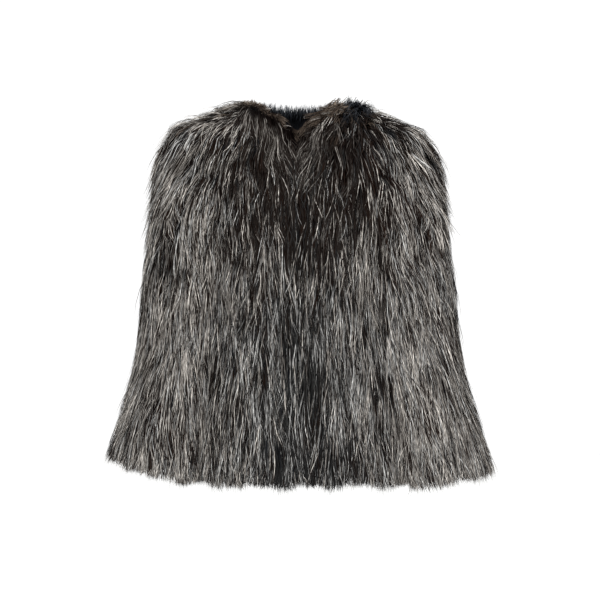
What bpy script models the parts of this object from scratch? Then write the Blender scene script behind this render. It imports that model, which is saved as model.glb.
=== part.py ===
"""Short collarless fur jacket, hollow and filled out as when it is worn.

Five pieces are cut and sewn: two fronts that meet edge to edge, one back and two set-in sleeves. Each is one
wall. Its inside is the smooth skin side. Its outside is the face of the long pile, raised in locks that lap
over each other like shingles, and it hangs past the skin at the hem, the cuffs and the neck.

Metres, +Z up. The front faces -Y and the wearer's left is +X. The origin is where the jacket is carried,
midway between the two neck points, which are the places where the shoulder seams meet the neckline.
"""

import math
from collections import namedtuple

import bmesh
import bpy
import numpy as np

# Cut of the skin side
NECK_HALF_WIDTH = 0.075
FRONT_NECK_DROP = 0.055
BACK_NECK_DROP = 0.008
SHOULDER_HALF_WIDTH = 0.186
SHOULDER_DROP = 0.046
UNDERARM_DROP = 0.205
HEM_DROP = 0.558
ARMHOLE_HALF_DEPTH = 0.062
SEAM_GAP = 0.0003

# Pile
PILE = 0.020
PRESSED_PILE = 0.0078
UNDERARM_PILE = 0.002
UNDERARM_EASE = 0.055
HANGING_PILE = 0.020
TUFT = 0.009
EDGE_PILE_SHARE = 0.6
NECK_LEAN = 0.7

# Locks: bands of them lie over each other like shingles, from the shoulder to the hem and from the armhole to
# the cuff. A band has three rows of points, at the roots, in the middle and at the tips
UPPER_BANDS = 4
LOWER_BANDS = 7
BANDS = UPPER_BANDS + LOWER_BANDS
LAST_BAND = 0.55
END = BANDS - 1 + LAST_BAND
BAND_HEIGHTS = (-0.6, 0.05, 0.4)
LOCK_HEIGHT = 0.010
LOCK_STAGGER = 0.46
TIP_STEP = 0.03

# Detail
HALF_COLUMNS = 18
NECK_BANDS = 2
ARMHOLE_ROWS = 3 * UPPER_BANDS
NECK_ROWS = 3 * NECK_BANDS

# Rows of the skin side, which is plainer, in bands, and the rows of the pile face that go with them
SLEEVE_ROWS = np.append(np.arange(BANDS), END)
PANEL_ROWS = np.concatenate([np.arange(ARMHOLE_ROWS) / 3, SLEEVE_ROWS[UPPER_BANDS:]])
PANEL_MATCHES = [round(3 * down) for down in PANEL_ROWS]

ROUNDNESS = 2 / 2.2
QUARTER = math.pi / 2

BodySection = namedtuple("BodySection", "drop half_width front_depth back_depth")
BODY = (
    BodySection(0.000, NECK_HALF_WIDTH, 0.034, 0.034),
    BodySection(0.021, 0.134, 0.056, 0.056),
    BodySection(SHOULDER_DROP, SHOULDER_HALF_WIDTH, 0.080, 0.076),
    BodySection(0.060, 0.194, 0.087, 0.082),
    BodySection(0.110, 0.175, 0.105, 0.098),
    BodySection(UNDERARM_DROP, 0.149, 0.122, 0.112),
    BodySection(0.300, 0.150, 0.124, 0.114),
    BodySection(0.400, 0.160, 0.128, 0.119),
    BodySection(0.500, 0.172, 0.134, 0.125),
    BodySection(HEM_DROP, 0.180, 0.139, 0.130),
)

# A sleeve's sections below the cap: where the middle lies, half the length and thickness of the flattened
# tube, and how far its length is turned from straight sideways
SleeveSection = namedtuple("SleeveSection", "drop out forward half_long half_thin turn_deg")
SLEEVE = (
    SleeveSection(0.240, 0.191, 0.000, 0.066, 0.026, 90),
    SleeveSection(0.300, 0.197, 0.004, 0.066, 0.030, 88),
    SleeveSection(0.360, 0.203, 0.015, 0.064, 0.030, 80),
    SleeveSection(0.436, 0.212, 0.042, 0.064, 0.029, 66),
    SleeveSection(0.512, 0.2255, 0.064, 0.064, 0.031, 52),
    SleeveSection(0.558, 0.232, 0.074, 0.065, 0.032, 43),
)
CAP_PULL = 0.8
CAP_OUTWARD = 0.85
CAP_FORWARD = 0.12
CAP_FALL_AT_SHOULDER = -0.60
CAP_RISE_AT_UNDERARM = 0.30

# How much higher the outer end of each cuff's long oval is than its inner end
CUFF_RISE = {"left": 0.014, "right": 0.042}

# Colours of the pile, by piece: the fronts are darkest and the sleeves most silvered
TONES = {"front": (0.060, 0.055, 0.051), "back": (0.082, 0.077, 0.072), "sleeve": (0.112, 0.106, 0.099)}


def through(sections, column, drop):
    """A column of a table at any drop, on a smooth curve through its rows that never overshoots them."""
    x = np.array([row.drop for row in sections])
    y = np.array([getattr(row, column) for row in sections], float)
    step = np.diff(x)
    slope = np.diff(y) / step
    rate = np.concatenate([slope[:1], np.zeros(len(x) - 2), slope[-1:]])
    before, after = slope[:-1], slope[1:]
    even = before * after > 0
    rate[1:-1][even] = 2 * before[even] * after[even] / (before[even] + after[even])
    at = np.clip(np.searchsorted(x, drop) - 1, 0, len(step) - 1)
    t = (drop - x[at]) / step[at]
    start = y[at] * (1 + 2 * t) + rate[at] * step[at] * t
    end = y[at + 1] * (3 - 2 * t) - rate[at + 1] * step[at] * (1 - t)
    return start * (1 - t) ** 2 + end * t**2


def eased(t):
    """0 to 1 with level ends."""
    t = np.clip(t, 0.0, 1.0)
    return t * t * (3 - 2 * t)


def unit(vectors):
    return vectors / np.linalg.norm(vectors, axis=-1, keepdims=True)


def body_points(turn, drop, face):
    """Skin of the front or back face of the body. turn runs from 0 at the middle to a quarter at the side."""
    width = through(BODY, "half_width", drop)
    depth = through(BODY, face + "_depth", drop)
    sign = -1 if face == "front" else 1
    x = width * np.sin(turn) ** ROUNDNESS
    y = sign * depth * np.cos(turn) ** ROUNDNESS
    return np.stack([x, y, -drop], axis=-1)


def neckline(share, face):
    """Turn and drop along half a neckline, from the neck point to the middle."""
    centre_drop = FRONT_NECK_DROP if face == "front" else BACK_NECK_DROP
    drop = centre_drop * np.sin(share * QUARTER)
    across = NECK_HALF_WIDTH * np.cos(share * QUARTER) / through(BODY, "half_width", drop)
    return np.arcsin(np.clip(across, 0, 1) ** (1 / ROUNDNESS)), drop


def armhole(share, face):
    """Turn and drop along half an armhole, an oval seen from the side, from the shoulder to the underarm."""
    round_it = share * math.pi
    middle = (SHOULDER_DROP + UNDERARM_DROP) / 2
    drop = middle - (UNDERARM_DROP - SHOULDER_DROP) / 2 * np.cos(round_it)
    deep = ARMHOLE_HALF_DEPTH * np.sin(round_it) / through(BODY, face + "_depth", drop)
    return np.arccos(np.clip(deep, 0, 1) ** (1 / ROUNDNESS)), drop


def lower_share(down):
    """Share of the way from the underarm to the hem, or down the arm to the cuff. The last band is short."""
    return np.clip((down - UPPER_BANDS) / (END - UPPER_BANDS), 0, 1)


def panel_skin(down, face):
    """Skin of one left half panel.

    down is in bands. It has a row for each row of points from the shoulder seam to the hem, and its columns
    run from the middle to the armhole and the side.
    """
    share = np.linspace(0, 1, down.shape[1])
    upper = np.clip(down / UPPER_BANDS, 0, 1)
    skirt = lower_share(down) * (HEM_DROP - UNDERARM_DROP)
    neck_turn, neck_drop = neckline(np.clip(down / NECK_BANDS, 0, 1), face)
    chest = np.clip((down - NECK_BANDS) / (UPPER_BANDS - NECK_BANDS), 0, 1)
    middle_drop = neck_drop + (UNDERARM_DROP - neck_drop) * chest + skirt
    side_turn, side_drop = armhole(upper, face)
    side_drop = side_drop + skirt
    turn = neck_turn + (side_turn - neck_turn) * share
    drop = middle_drop + (side_drop - middle_drop) * share
    return body_points(turn, drop, face)


def sleeve_section(drop, round_it):
    """Ring of the left sleeve at one drop, from its outer side round the front to the inner side and back."""
    turn = np.radians(through(SLEEVE, "turn_deg", drop))
    outward = np.stack([np.sin(turn), -np.cos(turn)], axis=-1)
    frontward = np.stack([-np.cos(turn), -np.sin(turn)], axis=-1)
    middle = np.stack([through(SLEEVE, "out", drop), -through(SLEEVE, "forward", drop)], axis=-1)
    thin = through(SLEEVE, "half_thin", drop)[..., None] * np.cos(round_it)[..., None]
    long = through(SLEEVE, "half_long", drop)[..., None] * np.sin(round_it)[..., None]
    plan = middle + thin * outward + long * frontward
    return np.concatenate([plan, -np.asarray(drop)[..., None]], axis=-1)


def armhole_ring():
    """Points round the left armhole, from the shoulder down the front and up the back."""
    half = np.arange(ARMHOLE_ROWS + 1) / ARMHOLE_ROWS
    front = body_points(*armhole(half, "front"), "front")
    back = body_points(*armhole(half, "back"), "back")
    return np.concatenate([front, back[-2:0:-1]])


def sleeve_skin(down, cuff_rise):
    """Skin of the left sleeve. down is in bands, a row of it for each ring of points from armhole to cuff."""
    ring = armhole_ring()
    round_it = np.linspace(0, 2 * math.pi, len(ring), endpoint=False)
    top, bottom = SLEEVE[0].drop, SLEEVE[-1].drop

    def arm(share):
        level = top + (bottom - top) * share
        rise = cuff_rise * eased(share) * (1 - np.sin(round_it)) / 2
        points = sleeve_section(np.clip(level - rise, top, bottom), np.broadcast_to(round_it, level.shape))
        points[..., 2] = rise - level
        return points

    low = (1 - np.cos(round_it)) / 2
    upward = CAP_FALL_AT_SHOULDER + (CAP_RISE_AT_UNDERARM - CAP_FALL_AT_SHOULDER) * low
    leaves = np.stack([np.full(len(ring), CAP_OUTWARD), -CAP_FORWARD * np.sin(round_it), upward], axis=-1)
    leaves = unit(leaves)
    start = ring + SEAM_GAP * leaves
    end = arm(np.zeros(len(ring)))
    arrives = unit(arm(np.full(len(ring), 1 / LOWER_BANDS)) - end)
    reach = CAP_PULL * np.linalg.norm(end - start, axis=-1, keepdims=True)
    t = np.clip(down / UPPER_BANDS, 0, 1)[..., None]
    cap = (
        start * (1 + 2 * t) * (1 - t) ** 2
        + reach * leaves * t * (1 - t) ** 2
        + end * t**2 * (3 - 2 * t)
        - reach * arrives * t**2 * (1 - t)
    )
    below = arm(lower_share(down))
    return np.where(down[..., None] < UPPER_BANDS, cap, below)


def outward(skin, kind):
    """Outward direction at each point of a grid of skin, by kind of piece: front, back or sleeve."""
    down = np.gradient(skin, axis=0)
    if kind == "sleeve":
        along = np.roll(skin, 1, axis=1) - np.roll(skin, -1, axis=1)
    else:
        along = np.gradient(skin, axis=1) * (1 if kind == "front" else -1)
    return unit(np.cross(down, along))


def softened(directions, fixed, tube, times=4):
    """Directions that ease towards the fixed ones at the edges, so that neighbouring walls don't cross."""
    result = directions.copy()
    for _ in range(times):
        padded = np.pad(result, ((1, 1), (1, 1), (0, 0)), mode="edge")
        if tube:
            padded[1:-1, 0], padded[1:-1, -1] = result[:, -1], result[:, 0]
        mean = padded[:-2, 1:-1] + padded[2:, 1:-1] + padded[1:-1, :-2] + padded[1:-1, 2:]
        result = np.where(fixed[..., None], result, unit(mean))
    return result


def locks(columns, seed):
    """Where the points of a pile face lie, in bands, how high they stand, in lock heights, and how far each
    lock of the last band hangs past the mean, -1 to 1.

    Every second lock of a band is longer, and the next band has its long locks between them. The tips step
    down to the roots of the next band.
    """
    band = np.arange(BANDS)[:, None]
    longer = np.where((band + np.arange(columns)) % 2, 1, -1)
    uneven = np.random.default_rng(seed).uniform(0.7, 1.0, (2, BANDS, columns))
    reach = longer * uneven[0]
    tip = band + 1 + LOCK_STAGGER * reach
    tip[-1] = END
    root = np.vstack([np.zeros((1, columns)), tip[:-1] + TIP_STEP])
    down = np.stack([root, (root + tip) / 2, tip], axis=1).reshape(-1, columns)
    height = np.tile(BAND_HEIGHTS, BANDS)[:, None] * np.repeat(uneven[1], 3, axis=0)
    height[0] = 0
    return down, height, reach[-1]


def sewn(down, height, free):
    """The same points and heights, evened out where free is below 1, beside a sewn edge."""
    even = np.arange(len(down))[:, None] / 3
    return even + (down - even) * free, height * free


def looseness(pile):
    """How freely pile stands up in locks: 0 where it is pressed between sleeve and body, 1 elsewhere."""
    return np.clip((pile - PRESSED_PILE) / (PILE - PRESSED_PILE), 0, 1)


def armhole_directions():
    """The one direction in which pile stands on both sides of the left armhole seam, for each face."""
    even = np.arange(ARMHOLE_ROWS + 2)[:, None] / 3
    ring = outward(sleeve_skin(even * np.ones(2 * ARMHOLE_ROWS), CUFF_RISE["left"]), "sleeve")[0]
    back_ring = np.roll(ring[::-1], 1, axis=0)
    shared = {}
    for face, on_sleeve in (("front", ring), ("back", back_ring)):
        skin = panel_skin(even * np.ones(HALF_COLUMNS + 1), face)
        both = unit(outward(skin, face)[: ARMHOLE_ROWS + 1, -1] + on_sleeve[: ARMHOLE_ROWS + 1])
        both[[0, -1], 1] = 0
        shared[face] = unit(both)
    return shared


def middle_directions(edge, face):
    """Outward directions down the middle edge from the neckline, in the middle plane, and its fall there."""
    down = unit(np.gradient(edge[NECK_ROWS:], axis=0))
    sign = 1 if face == "front" else -1
    return np.stack([0 * down[:, 0], sign * down[:, 2], -sign * down[:, 1]], axis=-1), down[0]


def pressed_pile(skin):
    """Pile between a sleeve and the body: thinnest at the underarm."""
    below = eased((-skin[..., 2] - UNDERARM_DROP) / UNDERARM_EASE)
    return UNDERARM_PILE + (PRESSED_PILE - UNDERARM_PILE) * below


def armhole_pile(share):
    """Pile along the armhole: full at the shoulder, pressed thin at the underarm."""
    return PILE + (UNDERARM_PILE - PILE) * eased((share - 0.35) / 0.45)


def panel(face, down, height, reach):
    """Skin, at its coarser rows and columns, and pile face of one left half panel."""
    rows, columns = down.shape
    row, column = np.mgrid[0:rows, 0:columns]
    free = np.where(row <= ARMHOLE_ROWS, np.minimum(1, (columns - 1 - column) / 4), 1)
    free = free * np.where(row <= NECK_ROWS, np.minimum(1, column / 2), 1)
    down, height = sewn(down, height, free)
    skin = panel_skin(down, face)

    lean = outward(skin, face)
    lean[NECK_ROWS:, 0], fall = middle_directions(skin[:, 0], face)
    lean[:NECK_ROWS, 0] += NECK_LEAN * unit(skin[:NECK_ROWS, 0] - skin[:NECK_ROWS, 1])
    lean[NECK_ROWS, 0] -= NECK_LEAN * fall
    lean[0, :, 1] = 0
    lean[ARMHOLE_ROWS:, -1, 1] = 0
    lean[: ARMHOLE_ROWS + 1, -1] = armhole_directions()[face]
    edge = (row == 0) | (row == rows - 1) | (column == 0) | (column == columns - 1)
    lean = softened(unit(lean), edge, tube=False)

    beside = eased((column / HALF_COLUMNS - 0.6) / 0.3) * eased((down / UPPER_BANDS - 0.3) / 0.4)
    pile = PILE + (pressed_pile(skin) - PILE) * beside
    pile[: ARMHOLE_ROWS + 1, -1] = armhole_pile(np.linspace(0, 1, ARMHOLE_ROWS + 1))
    pile += LOCK_HEIGHT * height * looseness(pile)
    pile_face = skin + pile[..., None] * lean
    pile_face[-1] = skin[-1] + EDGE_PILE_SHARE * pile[-1, :, None] * lean[-1]
    pile_face[-1, :, 2] -= HANGING_PILE + TUFT * reach
    return panel_skin(PANEL_ROWS[:, None] * np.ones(HALF_COLUMNS // 2 + 1), face), pile_face


def sleeve(down, height, reach, cuff_rise):
    """Skin, at its coarser rows, and pile face of the left sleeve."""
    rows, columns = down.shape
    row = np.arange(rows)[:, None] * np.ones(columns)
    down, height = sewn(down, height, np.minimum(1, row / 4))
    skin = sleeve_skin(down, cuff_rise)

    lean = outward(skin, "sleeve")
    shared = armhole_directions()
    lean[0] = np.concatenate([shared["front"], shared["back"][-2:0:-1]])
    lean = softened(lean, (row == 0) | (row == rows - 1), tube=True)

    round_it = np.linspace(0, 2 * math.pi, columns, endpoint=False)
    pile = PILE + (pressed_pile(skin) - PILE) * eased((0.3 - np.cos(round_it)) / 0.9)
    pile[0] = armhole_pile(np.minimum(round_it, 2 * math.pi - round_it) / math.pi)
    pile += LOCK_HEIGHT * height * looseness(pile)
    pile_face = skin + pile[..., None] * lean
    pile_face[-1] = skin[-1] + EDGE_PILE_SHARE * pile[-1, :, None] * lean[-1]
    pile_face[-1] += (HANGING_PILE + TUFT * reach)[:, None] * unit(skin[-1] - skin[-3])
    return sleeve_skin(SLEEVE_ROWS[:, None] * np.ones(columns), cuff_rise), pile_face


def strip(mesh, fine, coarse, matches, early=0):
    """Faces between an edge of the pile face and the matching edge of the skin, which has fewer points.

    matches holds the number of the fine point that goes with each coarse one. early is 1 where the faces lean
    the other way, as those of the piece sewn to this edge do.
    """
    for i, (first, last) in enumerate(zip(matches[:-1], matches[1:])):
        middle = (first + last + 1 - early) // 2
        mesh.faces.new((coarse[i], fine[middle], coarse[i + 1]))
        for j in range(first, last):
            mesh.faces.new((coarse[i if j < middle else i + 1], fine[j], fine[j + 1]))


def quads(mesh, grid):
    for upper, lower in zip(grid[:-1], grid[1:]):
        for corners in zip(upper[:-1], upper[1:], lower[1:], lower[:-1]):
            mesh.faces.new(corners)


def add_half_panel(mesh, skin, pile_face, middle_end, early):
    """Walls of half a panel, whose middle edge is open down to the row of points middle_end."""
    fine = [[mesh.verts.new(p) for p in row] for row in pile_face.tolist()]
    coarse = [[mesh.verts.new(p) for p in row] for row in skin.tolist()]
    rows = PANEL_MATCHES
    open_rows = [row for row in rows if row <= middle_end]
    columns = range(0, HALF_COLUMNS + 1, 2)
    strip(mesh, [row[-1] for row in fine], [row[-1] for row in coarse], rows, early)
    strip(mesh, [row[0] for row in fine], [row[0] for row in coarse], open_rows)
    for end in (0, -1):
        strip(mesh, fine[end], coarse[end], columns)
    quads(mesh, fine)
    quads(mesh, coarse)


def add_tube(mesh, skin, pile_face):
    """Walls of a tube, open at both ends."""
    fine = [[mesh.verts.new(p) for p in row] for row in pile_face.tolist()]
    coarse = [[mesh.verts.new(p) for p in row] for row in skin.tolist()]
    fine = [row + row[:1] for row in fine]
    coarse = [row + row[:1] for row in coarse]
    for end in (0, -1):
        strip(mesh, fine[end], coarse[end], range(len(fine[end])))
    quads(mesh, fine)
    quads(mesh, coarse)


def finish(name, mesh, material):
    """Close the halves of a piece along the middle and make it an object."""
    bmesh.ops.remove_doubles(mesh, verts=mesh.verts, dist=SEAM_GAP / 100)
    bmesh.ops.recalc_face_normals(mesh, faces=mesh.faces)
    data = bpy.data.meshes.new(name)
    mesh.to_mesh(data)
    mesh.free()
    data.shade_smooth()
    data.set_sharp_from_angle(angle=math.radians(50))
    data.materials.append(material)
    bpy.context.scene.collection.objects.link(bpy.data.objects.new(name, data))


def pile_material(name, tone):
    """Long silvered pile: rough, dull, dark."""
    material = bpy.data.materials.new(name)
    material.use_nodes = True
    shader = material.node_tree.nodes["Principled BSDF"]
    shader.inputs["Base Color"].default_value = (*tone, 1.0)
    shader.inputs["Roughness"].default_value = 0.7
    shader.inputs["Metallic"].default_value = 0.0
    return material


def placed(grids, side, sideways, frontward):
    """Left-hand grids moved off the middle and side planes by half a seam gap, and mirrored for the right."""
    step = np.array([sideways, -frontward, 0.0]) * SEAM_GAP / 2
    sign = np.array([1.0 if side == "left" else -1.0, 1.0, 1.0])
    return [(grid + step) * sign for grid in grids]


def main():
    for item in list(bpy.data.objects):
        bpy.data.objects.remove(item)

    for side, seed in (("left", 1), ("right", 2)):
        mesh = bmesh.new()
        grids = panel("front", *locks(HALF_COLUMNS + 1, seed))
        add_half_panel(mesh, *placed(grids, side, 1, 1), middle_end=3 * BANDS, early=0)
        finish("front_" + side, mesh, pile_material("front_pile_" + side, TONES["front"]))

    mesh = bmesh.new()
    whole = locks(2 * HALF_COLUMNS + 1, 3)
    for side, half in (("left", np.s_[..., HALF_COLUMNS:]), ("right", np.s_[..., HALF_COLUMNS::-1])):
        grids = panel("back", *(values[half] for values in whole))
        add_half_panel(mesh, *placed(grids, side, 0, -1), middle_end=NECK_ROWS, early=1)
    finish("back", mesh, pile_material("back_pile", TONES["back"]))

    for side, seed in (("left", 4), ("right", 5)):
        mesh = bmesh.new()
        grids = sleeve(*locks(2 * ARMHOLE_ROWS, seed), CUFF_RISE[side])
        add_tube(mesh, *placed(grids, side, 0, 0))
        finish("sleeve_" + side, mesh, pile_material("sleeve_pile_" + side, TONES["sleeve"]))


main()
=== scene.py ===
# %% [markdown]
# # A short jacket of silvered fur
#
# The jacket is five pelts sewn together: two fronts, a back and two sleeves. Long guard hair grows out of
# each. The solids that carry it are loaded first and stay where they are. Every pelt and every hair is then
# worked out on the same form, so nothing has to be fitted afterwards.

# %% Load the frame
import math
from collections import namedtuple

import bmesh
import bpy
import numpy as np
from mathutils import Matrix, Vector


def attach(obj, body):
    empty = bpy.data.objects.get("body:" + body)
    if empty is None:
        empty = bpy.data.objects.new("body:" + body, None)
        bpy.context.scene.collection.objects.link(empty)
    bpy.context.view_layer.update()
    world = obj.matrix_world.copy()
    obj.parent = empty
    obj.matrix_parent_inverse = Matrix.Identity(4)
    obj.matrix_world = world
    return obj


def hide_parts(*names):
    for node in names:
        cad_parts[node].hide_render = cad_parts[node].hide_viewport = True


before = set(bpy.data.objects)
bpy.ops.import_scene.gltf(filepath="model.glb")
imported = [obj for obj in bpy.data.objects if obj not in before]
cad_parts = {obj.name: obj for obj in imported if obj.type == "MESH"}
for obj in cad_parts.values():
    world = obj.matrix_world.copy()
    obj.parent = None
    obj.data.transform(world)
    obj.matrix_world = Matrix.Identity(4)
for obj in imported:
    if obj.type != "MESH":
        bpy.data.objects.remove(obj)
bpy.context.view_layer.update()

# %% [markdown]
# ## Camera
#
# The picture is 600 pixels wide and level with the middle of the jacket. One pixel is about 1.58 mm in the
# plane of the shoulders. The lens follows from that: the sensor is to the lens as the picture's width is to
# the distance.

# %% Camera
PICTURE = 600
PIXEL = 0.001582
ORIGIN_PIXEL = (298.5, 112.6)
CAMERA_DISTANCE = 3.0


def linked(name, data):
    """A new object that holds this data, put into the scene."""
    thing = bpy.data.objects.new(name, data)
    bpy.context.scene.collection.objects.link(thing)
    return thing


camera_data = bpy.data.cameras.new("camera")
camera_data.lens = camera_data.sensor_width * CAMERA_DISTANCE / (PICTURE * PIXEL)
camera = linked("camera", camera_data)
camera.location = (
    (PICTURE / 2 - ORIGIN_PIXEL[0]) * PIXEL,
    -CAMERA_DISTANCE,
    (ORIGIN_PIXEL[1] - PICTURE / 2) * PIXEL,
)
camera.rotation_euler = (math.pi / 2, 0, 0)
bpy.context.scene.camera = camera
print("lens", round(camera_data.lens, 1), "mm")

# %% [markdown]
# ## Stage and light
#
# A product picture like this one is taken in a white room, where light comes from everywhere. A single lamp
# would throw hard shadows into the pile. So the world itself is white, and two large soft boxes brighten
# the pile from above and from the right. The floor is far below, because the jacket hangs.

# %% Light
ROOM_LIGHT = 1.08
LIT_MIDDLE = Vector((0.0, 0.0, -0.28))

SoftBox = namedtuple("SoftBox", "name place size power")
SOFT_BOXES = (
    SoftBox("soft box above", (-0.9, -2.2, 1.7), 1.2, 60),
    SoftBox("soft box right", (2.2, -1.6, 0.6), 1.0, 25),
)

world = bpy.data.worlds.new("white room")
world.use_nodes = True
background = world.node_tree.nodes["Background"]
background.inputs["Color"].default_value = (1, 1, 1, 1)
background.inputs["Strength"].default_value = ROOM_LIGHT
bpy.context.scene.world = world
bpy.context.scene.view_settings.view_transform = "Standard"

for box in SOFT_BOXES:
    light_data = bpy.data.lights.new(box.name, "AREA")
    light_data.shape = "DISK"
    light_data.size = box.size
    light_data.energy = box.power
    light = linked(box.name, light_data)
    light.location = box.place
    light.rotation_euler = (LIT_MIDDLE - Vector(box.place)).to_track_quat("-Z", "Y").to_euler()
print("lights:", [box.name for box in SOFT_BOXES])

# %% Nodes and paper
MM_PER_M = 1000
PAPER_ROUGHNESS = 0.9
PAPER_GRAIN_MM = 45
PAPER_TONES = ("#f6f6f5", "#fbfbfa")
NOISE_SPAN = (0.3, 0.7)


def srgb(text):
    """Linear colour with alpha of an sRGB hex value: each channel c is (c + 0.055) / 1.055 to the power 2.4,
    or c / 12.92 below 0.04045."""
    channels = np.array([int(text[i:i + 2], 16) / 255 for i in (1, 3, 5)])
    linear = np.where(channels <= 0.04045, channels / 12.92, ((channels + 0.055) / 1.055) ** 2.4)
    return (*linear.tolist(), 1.0)


def add_node(tree, kind, links=None, stops=None, **settings):
    """A node with its settings. links gives an input's socket or plain value, stops a ramp's colours."""
    node = tree.nodes.new(kind)
    for name, value in settings.items():
        setattr(node, name, value)
    for name, value in (links or {}).items():
        if isinstance(value, bpy.types.NodeSocket):
            tree.links.new(value, node.inputs[name])
        else:
            node.inputs[name].default_value = value
    for i, (place, colour) in enumerate(stops or ()):
        elements = node.color_ramp.elements
        stop = elements[i] if i < 2 else elements.new(place)
        stop.position = place
        stop.color = srgb(colour)
    return node


def new_material(name, roughness):
    """A material of this roughness, with its node tree and its shader."""
    material = bpy.data.materials.new(name)
    material.use_nodes = True
    shader = material.node_tree.nodes["Principled BSDF"]
    shader.inputs["Roughness"].default_value = roughness
    return material, material.node_tree, shader


# Matt white paper, an even pale ground. Its grain is too fine to show, so it is drawn far coarser
paper, paper_tree, paper_shader = new_material("white paper", PAPER_ROUGHNESS)
paper_place = add_node(paper_tree, "ShaderNodeTexCoord")
grain = add_node(paper_tree, "ShaderNodeTexNoise",
                 {"Vector": paper_place.outputs["Object"], "Scale": MM_PER_M / PAPER_GRAIN_MM})
shade = add_node(paper_tree, "ShaderNodeValToRGB", {"Fac": grain.outputs["Fac"]},
                 zip(NOISE_SPAN, PAPER_TONES))
paper_tree.links.new(shade.outputs["Color"], paper_shader.inputs["Base Color"])
print("material:", paper.name)

# %% Floor
FLOOR_DROP = 1.25
FLOOR_HALF = 9.0

floor_data = bpy.data.meshes.new("floor")
floor_data.from_pydata(
    [(x * FLOOR_HALF, y * FLOOR_HALF, -FLOOR_DROP) for x, y in ((-1, -1), (1, -1), (1, 1), (-1, 1))],
    [], [(0, 1, 2, 3)])
floor_data.materials.append(paper)
floor = linked("floor", floor_data)
print("floor", FLOOR_DROP, "m below the shoulders")

# %% [markdown]
# ## The cut of the jacket
#
# The skin side of each piece is a surface with two parameters. On a panel one runs from the middle to the
# side and the other from the shoulder seam to the hem. On a sleeve one runs round the arm and the other
# from the armhole to the cuff. It could be sculpted by hand, but then hair would have no coordinates to
# grow on. So short tables give the sections, and a smooth curve runs through their rows.

# %% Sizes of the cut
NECK_HALF_WIDTH = 0.075
FRONT_NECK_DROP = 0.055
BACK_NECK_DROP = 0.008
SHOULDER_HALF_WIDTH = 0.186
SHOULDER_DROP = 0.046
UNDERARM_DROP = 0.205
HEM_DROP = 0.558
ARMHOLE_HALF_DEPTH = 0.062
SEAM_GAP = 0.0003
ROUNDNESS = 2 / 2.2
QUARTER = math.pi / 2

BodySection = namedtuple("BodySection", "drop half_width front_depth back_depth")
BODY = [BodySection(*row) for row in (
    (0.000, NECK_HALF_WIDTH, 0.034, 0.034),
    (0.021, 0.134, 0.056, 0.056),
    (SHOULDER_DROP, SHOULDER_HALF_WIDTH, 0.080, 0.076),
    (0.060, 0.194, 0.087, 0.082),
    (0.110, 0.175, 0.105, 0.098),
    (UNDERARM_DROP, 0.149, 0.122, 0.112),
    (0.300, 0.150, 0.124, 0.114),
    (0.400, 0.160, 0.128, 0.119),
    (0.500, 0.172, 0.134, 0.125),
    (HEM_DROP, 0.180, 0.139, 0.130),
)]

SleeveSection = namedtuple("SleeveSection", "drop out forward half_long half_thin turn_deg")
SLEEVE = [SleeveSection(*row) for row in (
    (0.240, 0.191, 0.000, 0.066, 0.026, 90),
    (0.300, 0.197, 0.004, 0.066, 0.030, 88),
    (0.360, 0.203, 0.015, 0.064, 0.030, 80),
    (0.436, 0.212, 0.042, 0.064, 0.029, 66),
    (0.512, 0.2255, 0.064, 0.064, 0.031, 52),
    (0.558, 0.232, 0.074, 0.065, 0.032, 43),
)]
CAP_PULL = 0.8
CAP_OUTWARD = 0.85
CAP_FORWARD = 0.12
CAP_FALL_AT_SHOULDER = -0.60
CAP_RISE_AT_UNDERARM = 0.30
ARRIVAL_STEP = 1 / 7
CUFF_RISE = {"left": 0.014, "right": 0.042}
NECK_SHARE = 0.5
print("sections:", len(BODY), "of the body,", len(SLEEVE), "of a sleeve")


# %% Curves through the tables
def through(sections, column, drop):
    """A column of a table at any drop: a cubic between rows. Its slopes are harmonic means, so that it
    never overshoots."""
    x = np.array([row.drop for row in sections])
    y = np.array([getattr(row, column) for row in sections], float)
    step = np.diff(x)
    slope = np.diff(y) / step
    rate = np.concatenate([slope[:1], np.zeros(len(x) - 2), slope[-1:]])
    before, after = slope[:-1], slope[1:]
    even = before * after > 0
    rate[1:-1][even] = 2 * before[even] * after[even] / (before[even] + after[even])
    at = np.clip(np.searchsorted(x, drop) - 1, 0, len(step) - 1)
    t = (drop - x[at]) / step[at]
    start = y[at] * (1 + 2 * t) + rate[at] * step[at] * t
    end = y[at + 1] * (3 - 2 * t) - rate[at + 1] * step[at] * (1 - t)
    return start * (1 - t) ** 2 + end * t**2


def eased(value, start=0.0, end=1.0):
    """0 before start, 1 past end, level at both: t squared times 3 - 2t, where t is the share of the way."""
    t = np.clip((value - start) / (end - start), 0.0, 1.0)
    return t * t * (3 - 2 * t)


def hump(value, middle, width):
    """1 at the middle, falling off on both sides: exp of minus the squared distance in widths."""
    return np.exp(-((value - middle) / width) ** 2)


def unit(vectors):
    """Vectors of length 1 along the last axis."""
    return vectors / np.maximum(np.linalg.norm(vectors, axis=-1, keepdims=True), 1e-9)


print("half width at the hem", through(BODY, "half_width", np.array(HEM_DROP)).round(3))


# %% Skin of the panels
def body_points(turn, drop, face):
    """A rounded oval at each drop: x is the half width times sin(turn), y the depth times cos(turn), both
    to the power ROUNDNESS. turn is 0 at the middle and a quarter at the side."""
    width = through(BODY, "half_width", drop)
    depth = through(BODY, face + "_depth", drop)
    sign = -1 if face == "front" else 1
    x = width * np.sin(turn) ** ROUNDNESS
    y = sign * depth * np.cos(turn) ** ROUNDNESS
    return np.stack([x, y, -drop], axis=-1)


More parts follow.
